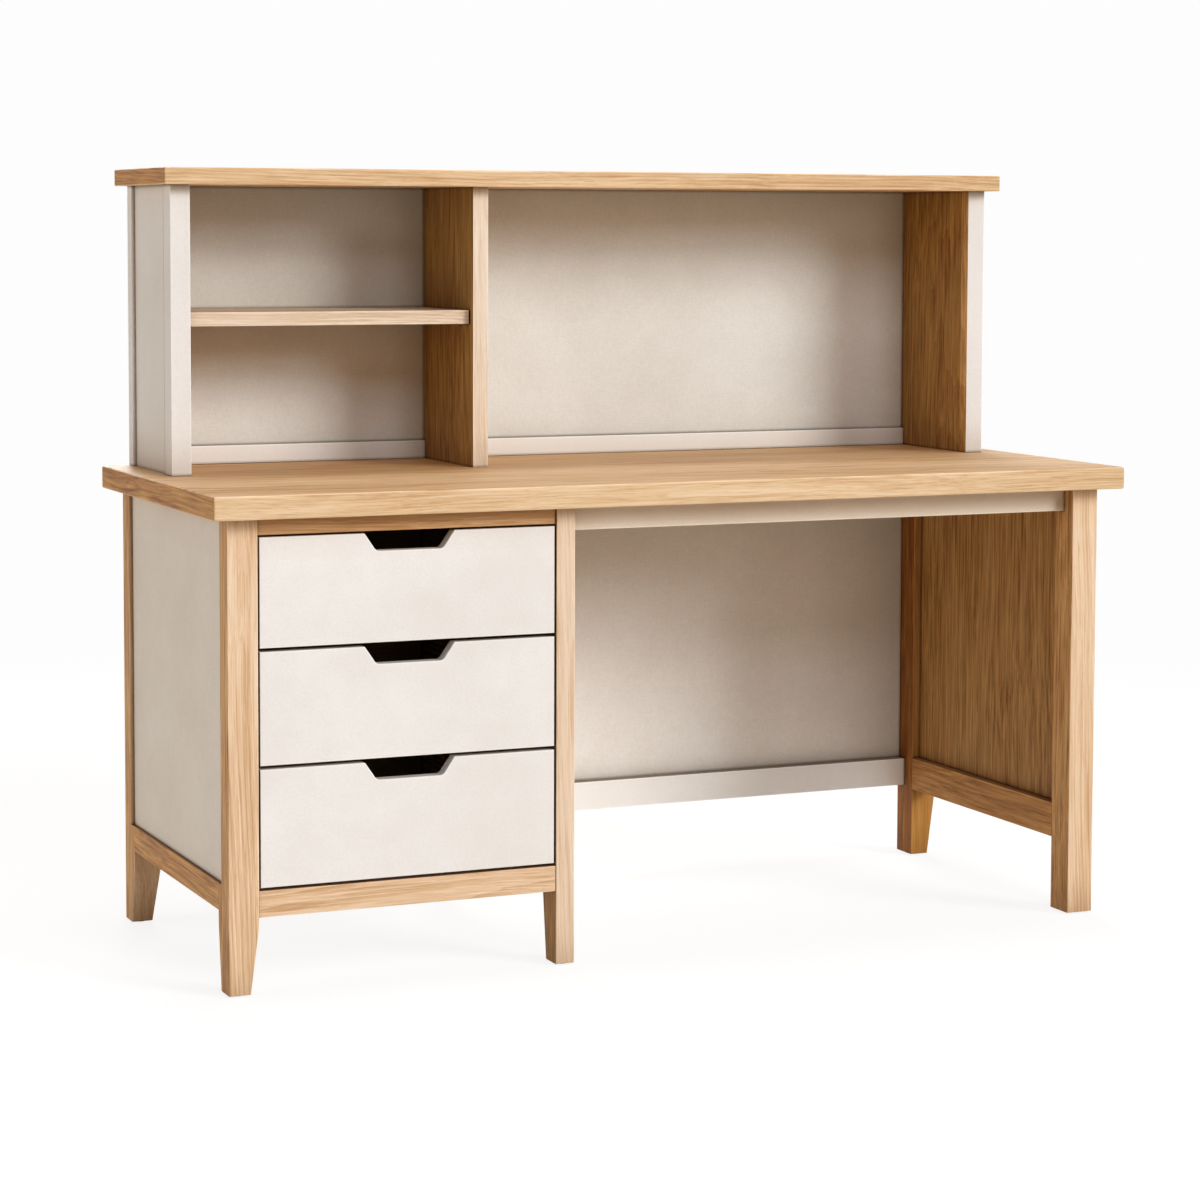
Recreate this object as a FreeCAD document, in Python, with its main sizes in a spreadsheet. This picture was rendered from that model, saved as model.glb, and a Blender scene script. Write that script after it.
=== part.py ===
import FreeCAD, Part
import os
import re

import Sketcher
from FreeCAD import Vector

# Student desk with hutch: drawer case on the left, kneehole on the right, open hutch on top.
#
# Millimetres. +X runs to the right end, +Y to the back, +Z up. The origin lies on the floor,
# in the middle of the whole footprint. Every size is a cell of the sheet Sizes, every place
# worked out from them is a property of Layout, and each piece is bound to both by expressions.

SIZES = {
    # Desktop
    "desktop_width": 1580,
    "desktop_depth": 645,
    "desktop_thickness": 36.5,
    "desktop_edge_radius": 3.5,
    "desk_height": 760,
    "side_overhang": 30,
    "front_overhang": 36,
    "back_overhang": 19,
    # Legs
    "leg_width": 48,
    "leg_depth": 54.5,
    "middle_leg_width": 31.5,
    "leg_edge_radius": 2,
    "taper_height": 103,
    "taper_across": 13.5,
    "taper_deep": 13,
    "glide_diameter": 24,
    "glide_height": 2.5,
    # End frames: outer panel in a rebate, inner panel between the legs
    "side_rail_bottom": 124,
    "side_rail_height": 58,
    "panel_setback": 6,
    "outer_panel_thickness": 10,
    "inner_panel_thickness": 16,
    "panel_lap": 16.5,
    "panel_play": 0.5,
    "cleat_height": 30,
    # Drawer case
    "case_width": 484.5,
    "case_panel_thickness": 16,
    "top_rail_height": 26.5,
    "top_rail_thickness": 22,
    "top_rail_setback": 4,
    "bottom_rail_bottom": 118.5,
    "bottom_rail_height": 40.5,
    "bottom_rail_thickness": 24,
    "bottom_rail_setback": 1.5,
    # Back of the desk
    "back_board_thickness": 8,
    "back_rail_thickness": 19,
    "back_rail_bottom": 128,
    "back_rail_height": 49.5,
    "rear_top_rail_height": 60,
    # Kneehole apron
    "apron_height": 40,
    "apron_thickness": 18,
    "apron_setback": 27,
    "apron_edge_radius": 2.5,
    # Drawers
    "drawer_1_height": 167.5,
    "drawer_2_height": 172.5,
    "drawer_side_gap": 2.5,
    "drawer_top_gap": 3,
    "drawer_between_gap": 5.5,
    "drawer_bottom_gap": 4,
    "drawer_setback": 2,
    "front_thickness": 20,
    "front_edge_radius": 1.5,
    "notch_width_top": 146,
    "notch_width_bottom": 108,
    "notch_depth": 27.5,
    "notch_inner_radius": 10,
    "notch_outer_radius": 3,
    "box_length": 520,
    "box_rise": 12,
    "box_drop": 38,
    "box_side_thickness": 12,
    "box_back_thickness": 12,
    "box_bottom_thickness": 6,
    "box_groove_rise": 12,
    "box_groove_depth": 5,
    "box_groove_play": 0.3,
    # Ball-bearing slides, three members each
    "slide_length": 500,
    "slide_start": 3,
    "slide_rise": 40,
    "slide_height": 45.4,
    "slide_thickness": 12.7,
    "slide_sheet": 1.2,
    "slide_lip": 2.5,
    "slide_web_gap": 1,
    "slide_flange_inset": 3.1,
    "ball_diameter": 3.2,
    "ball_play": 0.3,
    "ball_row_end": 15,
    "batten_height": 50,
    # Hutch
    "hutch_inset": 47,
    "hutch_depth": 256.5,
    "hutch_side_height": 463,
    "hutch_side_thickness": 32.5,
    "hutch_top_thickness": 27,
    "hutch_top_side_overhang": 16,
    "hutch_top_front_overhang": 26.5,
    "hutch_top_rear_overhang": 22,
    "hutch_top_arris": 1.2,
    "hutch_stile_depth": 42,
    "hutch_stile_inner_depth": 23,
    "hutch_tongue_thickness": 8,
    "hutch_back_thickness": 9,
    "hutch_back_inset": 15,
    "divider_offset": 229,
    "divider_thickness": 26.5,
    "skirt_height": 31,
    "skirt_thickness": 7.5,
    "shelf_height": 260,
    "shelf_thickness": 22.5,
    "shelf_front_setback": 13.5,
    "shelf_rear_play": 1,
    "shelf_end_play": 2,
    "pin_diameter": 5,
    "pin_depth": 7,
    "pin_reach": 9,
    "pin_inset": 42,
    "plate_width": 18,
    "plate_height": 90,
    "plate_thickness": 2,
    "plate_drop": 26,
    "screw_hole_diameter": 4.5,
    "screw_hole_depth": 15,
    "screw_hole_inset": 9,
}

LAYOUT = {
    # Desk outline
    "desk_front": "-(desktop_depth + hutch_top_rear_overhang) / 2",
    "desk_back": "desk_front + desktop_depth",
    "leg_top": "desk_height - desktop_thickness",
    "leg_height": "leg_top - glide_height",
    "end_left": "-desktop_width / 2 + side_overhang",
    "end_right": "desktop_width / 2 - side_overhang",
    "leg_front": "desk_front + front_overhang",
    "leg_back": "desk_back - back_overhang",
    "bay_front": "leg_front + leg_depth",
    "bay_back": "leg_back - leg_depth",
    "bay_depth": "bay_back - bay_front",
    # End frames
    "side_rail_top": "side_rail_bottom + side_rail_height",
    "rebate_depth": "panel_setback + outer_panel_thickness",
    "rebate_bottom": "side_rail_top - panel_lap",
    "panel_reach": "panel_lap - panel_play",
    "inner_recess": "leg_width - rebate_depth - inner_panel_thickness",
    # Drawer case and kneehole
    "case_left": "end_left + leg_width",
    "case_right": "case_left + case_width",
    "case_middle": "(case_left + case_right) / 2",
    "knee_left": "case_right + middle_leg_width",
    "knee_right": "end_right - leg_width",
    "knee_width": "knee_right - knee_left",
    "knee_recess": "middle_leg_width - case_panel_thickness",
    "bottom_rail_top": "bottom_rail_bottom + bottom_rail_height",
    "top_rail_bottom": "leg_top - top_rail_height",
    "back_board_front": "leg_back - back_board_thickness",
    "back_rail_front": "back_board_front - back_rail_thickness",
    # Drawer fronts, counted from the top, and boxes
    "front_face": "leg_front + drawer_setback",
    "front_back": "front_face + front_thickness",
    "front_width": "case_width - 2 * drawer_side_gap",
    "drawer_1_floor": "top_rail_bottom - drawer_top_gap - drawer_1_height",
    "drawer_2_floor": "drawer_1_floor - drawer_between_gap - drawer_2_height",
    "drawer_3_floor": "bottom_rail_top + drawer_bottom_gap",
    "drawer_3_height": "drawer_2_floor - drawer_between_gap - drawer_3_floor",
    "box_left": "case_left + slide_thickness",
    "box_right": "case_right - slide_thickness",
    "box_inner_left": "box_left + box_side_thickness",
    "box_inner_width": "box_right - box_left - 2 * box_side_thickness",
    "groove_height": "box_bottom_thickness + box_groove_play",
    "groove_reach": "box_groove_depth - box_groove_play",
    "box_board_top": "box_groove_rise + box_bottom_thickness",
    # Slides: widths from the wall that carries them, heights from their axis
    "slide_front": "front_back + slide_start",
    "half_case_member": "slide_height / 2",
    "case_member_reach": "slide_thickness - slide_flange_inset",
    "case_member_lip": "half_case_member - slide_sheet - slide_lip",
    "half_middle_member": "half_case_member - slide_sheet - ball_play - ball_diameter",
    "middle_member_web": "slide_sheet + slide_web_gap",
    "middle_member_reach": "slide_thickness - slide_sheet - ball_play",
    "middle_member_lip": "half_middle_member - slide_sheet - slide_lip",
    "half_inner_member": "half_middle_member - slide_sheet - ball_diameter - ball_play",
    "inner_member_reach": "middle_member_web + slide_sheet + slide_web_gap",
    "outer_row": "half_middle_member + ball_diameter / 2",
    "inner_row": "half_middle_member - slide_sheet - ball_diameter / 2",
    "row_place": "middle_member_web + slide_sheet + ball_play + ball_diameter / 2",
    # Hutch
    "hutch_width": "desktop_width - 2 * hutch_inset",
    "hutch_left": "-hutch_width / 2",
    "hutch_right_place": "hutch_width / 2 - hutch_side_thickness",
    "hutch_front": "desk_back - hutch_depth",
    "hutch_top_floor": "desk_height + hutch_side_height",
    "hutch_inner_left": "hutch_left + hutch_side_thickness",
    "hutch_inner_width": "hutch_width - 2 * hutch_side_thickness",
    "hutch_shoulder": "hutch_side_thickness - hutch_tongue_thickness",
    "hutch_back_front": "desk_back - hutch_back_inset - hutch_back_thickness",
    "rear_stile_depth": "desk_back - hutch_back_front",
    "rear_stile_place": "hutch_depth - rear_stile_depth",
    "divider_left": "-divider_offset",
    "divider_right": "divider_left + divider_thickness",
    "skirt_front": "hutch_back_front - skirt_thickness",
    "shelf_floor": "desk_height + shelf_height - shelf_thickness",
    "shelf_front": "hutch_front + shelf_front_setback",
    "shelf_depth": "hutch_back_front - shelf_rear_play - shelf_front",
    "pin_axis": "shelf_floor - pin_diameter / 2",
    "pin_front": "shelf_front + pin_inset",
    "pin_rear": "shelf_front + shelf_depth - pin_inset",
    "plate_floor": "desk_height - plate_drop",
    "plate_left": "hutch_left + hutch_side_thickness / 2",
    "plate_right": "-plate_left",
    "lower_screw": "plate_floor + screw_hole_inset",
    "upper_screw": "plate_floor + plate_height - screw_hole_inset",
}

DRAWERS = (1, 2, 3)
ALONG_X, ALONG_Y, ALONG_Z = Vector(1, 0, 0), Vector(0, 1, 0), Vector(0, 0, 1)

doc = FreeCAD.newDocument("StudentDesk")
pieces = []


# ---------------------------------------------------------------- values and expressions

def formula(text):
    """Writes each named value as a reference to the object that holds it."""
    def reference(match):
        name = match.group(0)
        if name in SIZES:
            return "Sizes." + name
        return "Layout." + name if name in LAYOUT else name
    return re.sub(r"[a-z][a-z0-9_]*", reference, text)


def bind(thing, prop, text):
    thing.setExpression(prop, formula(text))


def value(text):
    """The present value of a formula, in millimetres."""
    return float(sheet.evalExpression(formula(text)))


def make_sheet():
    cells = doc.addObject("Spreadsheet::Sheet", "Sizes")
    for row, (name, number) in enumerate(SIZES.items(), start=1):
        cells.set(f"A{row}", name)
        cells.set(f"B{row}", str(number))
        cells.setAlias(f"B{row}", name)
    return cells


def make_layout():
    places = doc.addObject("App::VarSet", "Layout")
    for name in LAYOUT:
        places.addProperty("App::PropertyFloat", name, "Layout", "")
    for name, text in LAYOUT.items():
        bind(places, name, text)


# ---------------------------------------------------------------- construction helpers

def place(thing, x, y, z):
    for axis, text in zip("xyz", (x, y, z)):
        bind(thing, f"Placement.Base.{axis}", text)


def keep(thing, label):
    """Marks a finished sub-part, which is written under its label."""
    thing.Label = label
    pieces.append(thing)


def box(name, size, at):
    """Plain square-edged board."""
    plain = doc.addObject("Part::Box", name)
    for prop, text in zip(("Length", "Width", "Height"), size):
        bind(plain, prop, text)
    place(plain, *at)
    return plain


def board(label, size, at):
    keep(box(label + "_board", size, at), label)


def group(label, members):
    """Several like pieces of one body that share a name."""
    holder = doc.addObject("Part::Compound", label + "_group")
    holder.Links = members
    keep(holder, label)


def mirrored(name, source, across):
    """Copy on the other side of the plane x = across."""
    twin = doc.addObject("Part::Mirroring", name)
    twin.Source = source
    twin.Normal = ALONG_X
    bind(twin, "Base.x", across)
    return twin


def new_body(label):
    return doc.addObject("PartDesign::Body", label + "_body")


def sketch_on(body, role, lift="0"):
    """Empty sketch on one of the body's origin planes, raised along its normal."""
    sketch = body.newObject("Sketcher::SketchObject", "Outline")
    origin_plane = next(f for f in body.Origin.OriginFeatures if f.Role == role)
    sketch.AttachmentSupport = [(origin_plane, "")]
    sketch.MapMode = "FlatFace"
    bind(sketch, "AttachmentOffset.Base.z", lift)
    return sketch


def draw(sketch, corners):
    """Closed outline through the corners, each tied to its formulas."""
    points = [Vector(value(x), value(y), 0) for x, y in corners]
    count = len(corners)
    for index in range(count):
        sketch.addGeometry(Part.LineSegment(points[index], points[(index + 1) % count]))
    for index in range(count):
        sketch.addConstraint(Sketcher.Constraint("Coincident", index, 2, (index + 1) % count, 1))
    for index, corner in enumerate(corners):
        for kind, text, letter in zip(("DistanceX", "DistanceY"), corner, "xy"):
            rule = Sketcher.Constraint(kind, -1, 1, index, 1, value(text))
            sketch.renameConstraint(sketch.addConstraint(rule), f"{letter}{index}")
            bind(sketch, f"Constraints.{letter}{index}", text)


def pad(body, role, corners, length):
    """Outline on an origin plane, drawn out towards +X, +Y or +Z."""
    sketch = sketch_on(body, role)
    draw(sketch, corners)
    feature = body.newObject("PartDesign::Pad", "Pad")
    feature.Profile = sketch
    feature.Reversed = role == "XZ_Plane"
    bind(feature, "Length", length)


def cut_through(body, role, corners):
    """Outline on an origin plane, cut right through both ways."""
    sketch = sketch_on(body, role)
    draw(sketch, corners)
    feature = body.newObject("PartDesign::Pocket", "Pocket")
    feature.Profile = sketch
    feature.Type = "ThroughAll"
    feature.Midplane = True


def cut_from(body, role, corners, lift, depth, onward=False):
    """Outline raised on an origin plane, cut back towards it, or onward away from it."""
    sketch = sketch_on(body, role, lift)
    draw(sketch, corners)
    feature = body.newObject("PartDesign::Pocket", "Pocket")
    feature.Profile = sketch
    feature.Reversed = onward
    bind(feature, "Length", depth)


def dress(body, kind, prop, size, chosen):
    """Works on the edges of the body's last feature that a test picks."""
    doc.recompute()
    base = body.Tip
    names = [f"Edge{n}" for n, edge in enumerate(base.Shape.Edges, start=1) if chosen(edge)]
    feature = body.newObject(kind, "Edges")
    feature.Base = (base, names)
    bind(feature, prop, size)


def ease(body, radius, chosen):
    dress(body, "PartDesign::Fillet", "Radius", radius, chosen)


def chamfer(body, size, chosen):
    dress(body, "PartDesign::Chamfer", "Size", size, chosen)


def rectangle(width, height):
    return [("0", "0"), (width, "0"), (width, height), ("0", height)]


def span(low_x, low_y, high_x, high_y):
    """Rectangle between two opposite corners."""
    return [(low_x, low_y), (high_x, low_y), (high_x, high_y), (low_x, high_y)]


def round_bar(name, diameter, length, direction):
    """Cylinder that starts at its place and runs in a direction."""
    bar = doc.addObject("Part::Cylinder", name)
    bind(bar, "Radius", f"{diameter} / 2")
    bind(bar, "Height", length)
    bar.Placement.Rotation = FreeCAD.Rotation(ALONG_Z, direction)
    return bar


def drill(base, diameter, depth, spots, direction):
    """Cuts a round hole at each spot into a finished board."""
    tools = []
    for spot in spots:
        tool = round_bar("Drill", diameter, depth, direction)
        place(tool, *spot)
        tools.append(tool)
    holes = doc.addObject("Part::Compound", "Holes")
    holes.Links = tools
    cut = doc.addObject("Part::Cut", "Drilled")
    cut.Base = base
    cut.Tool = holes
    return cut


def runs_along(edge, axis):
    line = edge.Vertexes[-1].Point - edge.Vertexes[0].Point
    return line.Length > 0 and abs(line.dot(axis)) > 0.95 * line.Length


# ---------------------------------------------------------------- desk frame

def make_desktop():
    """Thick board with eased edges, drilled in its back edge for the hutch's fixing plates."""
    top = new_body("desktop")
    pad(top, "XY_Plane", rectangle("desktop_width", "desktop_depth"), "desktop_thickness")
    ease(top, "desktop_edge_radius", lambda edge: True)
    place(top, "-desktop_width / 2", "desk_front", "leg_top")
    spots = [(x, "desk_back", "lower_screw") for x in ("plate_left", "plate_right")]
    keep(drill(top, "screw_hole_diameter", "screw_hole_depth", spots, -ALONG_Y), "desktop")


def make_leg(label, width, x, y, sloped_side=False, sloped=None, rebate=None, slotted=False):
    """One leg.

    sloped_side tapers its right-hand face, and sloped its "front" or "back" face. rebate names
    the vertical corner that takes the outer panel. slotted lets the rear top rail through.
    """
    leg = new_body(label)
    outline = rectangle(width, "leg_height")
    if sloped_side:
        outline[1:2] = [(f"{width} - taper_across", "0"), (width, "taper_height")]
    pad(leg, "XZ_Plane", outline, "leg_depth")
    if sloped == "back":
        cut_through(leg, "YZ_Plane", [("leg_depth - taper_deep", "0"), ("leg_depth", "0"),
                                      ("leg_depth", "taper_height")])
    if sloped == "front":
        cut_through(leg, "YZ_Plane", [("0", "0"), ("taper_deep", "0"), ("0", "taper_height")])
    ease(leg, "leg_edge_radius", lambda edge: runs_along(edge, ALONG_Z))
    if rebate:
        hand, face = rebate
        across = ("0", "rebate_depth") if hand == "left" else (f"{width} - rebate_depth", width)
        deep = ("0", "panel_lap") if face == "front" else ("leg_depth - panel_lap", "leg_depth")
        cut_from(leg, "XY_Plane", span(across[0], deep[0], across[1], deep[1]),
                 "leg_height", "leg_top - rebate_bottom")
    if slotted:
        cut_from(leg, "XY_Plane",
                 span("0", "back_rail_front - bay_back", width, "back_board_front - bay_back"),
                 "leg_height", "rear_top_rail_height")
    place(leg, x, y, "glide_height")
    keep(leg, label)


def make_legs():
    right = "end_right - leg_width"
    make_leg("front_left_leg", "leg_width", "end_left", "leg_front",
             sloped_side=True, sloped="back", rebate=("left", "back"))
    make_leg("rear_left_leg", "leg_width", "end_left", "bay_back",
             sloped_side=True, sloped="front", rebate=("left", "front"))
    make_leg("front_middle_leg", "middle_leg_width", "case_right", "leg_front", sloped="back")
    make_leg("rear_middle_leg", "middle_leg_width", "case_right", "bay_back", sloped="front", slotted=True)
    make_leg("front_right_leg", "leg_width", right, "leg_front", rebate=("right", "back"))
    make_leg("rear_right_leg", "leg_width", right, "bay_back",
             sloped_side=True, rebate=("right", "front"))


def make_glides():
    """Glide under each foot, in the middle of its tapered end."""
    narrow = "(leg_width - taper_across) / 2"
    shallow = "(leg_depth - taper_deep) / 2"
    middle = "case_right + middle_leg_width / 2"
    spots = [
        (f"end_left + {narrow}", f"leg_front + {shallow}"),
        (f"end_left + {narrow}", f"leg_back - {shallow}"),
        (middle, f"leg_front + {shallow}"),
        (middle, f"leg_back - {shallow}"),
        ("end_right - leg_width / 2", "leg_front + leg_depth / 2"),
        (f"end_right - leg_width + {narrow}", "leg_back - leg_depth / 2"),
    ]
    glides = []
    for x, y in spots:
        glide = round_bar("Glide", "glide_diameter", "glide_height", ALONG_Z)
        place(glide, x, y, "0")
        glides.append(glide)
    group("foot_glides", glides)


def make_left_end():
    """Bottom rail, outer panel and inner panel of the left end."""
    rail = new_body("left_side_rail")
    pad(rail, "XZ_Plane", [
        ("0", "0"), ("leg_width", "0"), ("leg_width", "side_rail_height"),
        ("rebate_depth", "side_rail_height"), ("rebate_depth", "side_rail_height - panel_lap"),
        ("0", "side_rail_height - panel_lap")], "bay_depth")
    place(rail, "end_left", "bay_front", "side_rail_bottom")
    keep(rail, "left_side_rail")
    make_end_panels("left", "end_left + panel_setback", "end_left + rebate_depth")


def make_right_end():
    """Bottom rail, outer panel and inner panel of the right end."""
    rail = new_body("right_side_rail")
    pad(rail, "XZ_Plane", [
        ("0", "0"), ("leg_width", "0"), ("leg_width", "side_rail_height - panel_lap"),
        ("leg_width - rebate_depth", "side_rail_height - panel_lap"),
        ("leg_width - rebate_depth", "side_rail_height"), ("0", "side_rail_height")], "bay_depth")
    place(rail, "end_right - leg_width", "bay_front", "side_rail_bottom")
    keep(rail, "right_side_rail")
    make_end_panels("right", "end_right - rebate_depth",
                    "end_right - rebate_depth - inner_panel_thickness")


def make_end_panels(side, outer_x, inner_x):
    board(f"{side}_outer_panel",
          ("outer_panel_thickness", "bay_depth + 2 * panel_reach", "leg_top - rebate_bottom"),
          (outer_x, "bay_front - panel_reach", "rebate_bottom"))
    board(f"{side}_inner_panel",
          ("inner_panel_thickness", "bay_depth", "leg_top - side_rail_top"),
          (inner_x, "bay_front", "side_rail_top"))


def make_case():
    """Fixed parts of the drawer case between the left and the middle legs."""
    board("case_side_rail", ("middle_leg_width", "bay_depth", "side_rail_height"),
          ("case_right", "bay_front", "side_rail_bottom"))
    board("case_side_panel", ("case_panel_thickness", "bay_depth", "leg_top - side_rail_top"),
          ("case_right", "bay_front", "side_rail_top"))
    board("case_top_rail", ("case_width", "top_rail_thickness", "top_rail_height"),
          ("case_left", "leg_front + top_rail_setback", "top_rail_bottom"))
    board("case_bottom_rail", ("case_width", "bottom_rail_thickness", "bottom_rail_height"),
          ("case_left", "leg_front + bottom_rail_setback", "bottom_rail_bottom"))
    board("case_rear_rail", ("case_width", "back_rail_thickness", "back_rail_height"),
          ("case_left", "back_rail_front", "back_rail_bottom"))
    board("case_back_panel", ("case_width", "back_board_thickness", "leg_top - back_rail_bottom"),
          ("case_left", "back_board_front", "back_rail_bottom"))
    group("slide_battens", [
        box("Batten", ("inner_recess", "bay_depth", "batten_height"),
            ("case_left - inner_recess", "bay_front", f"{slide_axis(number)} - batten_height / 2"))
        for number in DRAWERS])


def make_cleats():
    """Battens under the desktop, one on each upright panel."""
    group("top_cleats", [
        box("Cleat", (width, "bay_depth", "cleat_height"), (x, "bay_front", "leg_top - cleat_height"))
        for width, x in (("inner_recess", "case_left - inner_recess"),
                         ("knee_recess", "knee_left - knee_recess"),
                         ("inner_recess", "knee_right"))])


def make_kneehole():
    apron = new_body("kneehole_apron")
    pad(apron, "YZ_Plane", rectangle("apron_thickness", "apron_height"), "knee_width")
    ease(apron, "apron_edge_radius",
         lambda edge: runs_along(edge, ALONG_X) and edge.CenterOfMass.z < 1)
    place(apron, "knee_left", "leg_front + apron_setback", "leg_top - apron_height")
    keep(apron, "kneehole_apron")
    board("modesty_rail", ("knee_width", "back_rail_thickness", "back_rail_height"),
          ("knee_left", "back_rail_front", "back_rail_bottom"))
    board("modesty_panel", ("knee_width", "back_board_thickness", "leg_top - back_rail_bottom"),
          ("knee_left", "back_board_front", "back_rail_bottom"))
    board("rear_top_rail", ("knee_right - case_left", "back_rail_thickness", "rear_top_rail_height"),
          ("case_left", "back_rail_front", "leg_top - rear_top_rail_height"))


# ---------------------------------------------------------------- drawers

def make_drawer_front(number):
    """Front with a finger notch in its top edge and, behind, a groove for the bottom board."""
    height = f"drawer_{number}_height"
    notch_floor = f"{height} - notch_depth"
    middle = "front_width / 2"
    half_top = "notch_width_top / 2"
    half_low = "notch_width_bottom / 2"
    front = new_body(f"drawer_{number}_front")
    pad(front, "XZ_Plane", [
        ("0", "0"), ("front_width", "0"), ("front_width", height),
        (f"{middle} + {half_top}", height), (f"{middle} + {half_low}", notch_floor),
        (f"{middle} - {half_low}", notch_floor), (f"{middle} - {half_top}", height),
        ("0", height)], "front_thickness")

    def at_notch(edge, level):
        point = edge.CenterOfMass
        inside = value(f"{middle} - {half_top}") - 1 < point.x < value(f"{middle} + {half_top}") + 1
        return runs_along(edge, ALONG_Y) and inside and abs(point.z - value(level)) < 0.1

    ease(front, "notch_inner_radius", lambda edge: at_notch(edge, notch_floor))
    ease(front, "notch_outer_radius", lambda edge: at_notch(edge, height))
    ease(front, "front_edge_radius", lambda edge: edge.BoundBox.YMax < 0.01)
    groove_floor = "box_rise + box_groove_rise"
    cut_from(front, "YZ_Plane",
             span("front_thickness - box_groove_depth", groove_floor,
                  "front_thickness", f"{groove_floor} + groove_height"),
             "box_inner_left - groove_reach - case_left - drawer_side_gap",
             "box_inner_width + 2 * groove_reach", onward=True)
    place(front, "case_left + drawer_side_gap", "front_face", f"drawer_{number}_floor")
    keep(front, f"drawer_{number}_front")


def make_drawer_side(number, hand, height, floor):
    """Side board with the groove that holds the bottom board."""
    low, high = "box_groove_rise", "box_groove_rise + groove_height"
    thick = "box_side_thickness"
    if hand == "left":
        x = "box_left"
        depth = f"{thick} - box_groove_depth"
        profile = [("0", "0"), (thick, "0"), (thick, low), (depth, low), (depth, high), (thick, high),
                   (thick, height), ("0", height)]
    else:
        x = "box_right - box_side_thickness"
        depth = "box_groove_depth"
        profile = [("0", "0"), (thick, "0"), (thick, height), ("0", height), ("0", high),
                   (depth, high), (depth, low), ("0", low)]
    side = new_body(f"drawer_{number}_{hand}_side")
    pad(side, "XZ_Plane", profile, "box_length")
    place(side, x, "front_back", floor)
    keep(side, f"drawer_{number}_{hand}_side")


def make_drawer(number):
    floor = f"drawer_{number}_floor + box_rise"
    height = f"(drawer_{number}_height - box_rise - box_drop)"
    make_drawer_front(number)
    for hand in ("left", "right"):
        make_drawer_side(number, hand, height, floor)
    board(f"drawer_{number}_back",
          ("box_inner_width", "box_back_thickness", f"{height} - box_board_top"),
          ("box_inner_left", "front_back + box_length - box_back_thickness", f"{floor} + box_board_top"))
    board(f"drawer_{number}_bottom",
          ("box_inner_width + 2 * groove_reach", "box_length + groove_reach", "box_bottom_thickness"),
          ("box_inner_left - groove_reach", "front_back - groove_reach", f"{floor} + box_groove_rise"))


# ---------------------------------------------------------------- slides

def slide_axis(number):
    return f"(drawer_{number}_floor + box_rise + slide_rise)"


def lipped_channel(web, reach, half, lip):
    """End view of a rolled channel: a web, two flanges and their inturned lips."""
    tip = f"{reach} - slide_sheet"
    bed = f"{web} + slide_sheet"
    inside = f"{half} - slide_sheet"
    upper = [(web, half), (reach, half), (reach, lip), (tip, lip), (tip, inside), (bed, inside)]
    return upper + [(x, f"-({z})") for x, z in reversed(upper)]


def plain_channel(web, reach, half):
    """End view of a channel without lips, its web on the drawer's side."""
    bed = f"{web} - slide_sheet"
    inside = f"{half} - slide_sheet"
    upper = [(bed, inside), (reach, inside), (reach, half), (web, half)]
    return upper + [(x, f"-({z})") for x, z in reversed(upper)]


def member(label, number, profile):
    """One rolled member on the left-hand wall of the case."""
    body = new_body(label)
    pad(body, "XZ_Plane", profile, "slide_length")
    place(body, "case_left", "slide_front", slide_axis(number))
    return body


def ball_rows(number):
    """The four rows of balls, each row one rod, that ride with the middle member."""
    rows = []
    for height in ("outer_row", "inner_row", "-inner_row", "-outer_row"):
        row = round_bar("BallRow", "ball_diameter", "slide_length - 2 * ball_row_end", ALONG_Y)
        place(row, "case_left + row_place", "slide_front + ball_row_end",
              f"{slide_axis(number)} + {height}")
        rows.append(row)
    return rows


def both_walls(members):
    """The left-hand members and their mirror images on the right-hand wall."""
    return members + [mirrored(piece.Name + "Right", piece, "case_middle") for piece in members]


def make_slides():
    """Case, middle and drawer members of the three pairs of slides."""
    case_members = []
    for number in DRAWERS:
        outer = member("case_member", number, lipped_channel(
            "0", "case_member_reach", "half_case_member", "case_member_lip"))
        middle = member("middle_member", number, lipped_channel(
            "middle_member_web", "middle_member_reach", "half_middle_member", "middle_member_lip"))
        inner = member("drawer_member", number, plain_channel(
            "slide_thickness", "inner_member_reach", "half_inner_member"))
        case_members += both_walls([outer])
        group(f"drawer_{number}_middle_members", both_walls([middle, *ball_rows(number)]))
        group(f"drawer_{number}_slide_members", both_walls([inner]))
    group("case_slide_members", case_members)


# ---------------------------------------------------------------- hutch

def make_hutch_top():
    top = new_body("hutch_top")
    pad(top, "XY_Plane",
        rectangle("hutch_width + 2 * hutch_top_side_overhang",
                  "hutch_depth + hutch_top_front_overhang + hutch_top_rear_overhang"),
        "hutch_top_thickness")
    chamfer(top, "hutch_top_arris", lambda edge: True)
    place(top, "hutch_left - hutch_top_side_overhang", "hutch_front - hutch_top_front_overhang",
          "hutch_top_floor")
    keep(top, "hutch_top")


def upright(label, side, plan):
    """Full-height piece of one hutch side; the plan is the left side's, turned over for the right."""
    body = new_body(label)
    x = "hutch_left"
    if side == "right":
        x = "hutch_right_place"
        plan = [(f"hutch_side_thickness - ({across})", deep) for across, deep in reversed(plan)]
    pad(body, "XY_Plane", plan, "hutch_side_height")
    place(body, x, "hutch_front", "desk_height")
    return body


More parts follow.
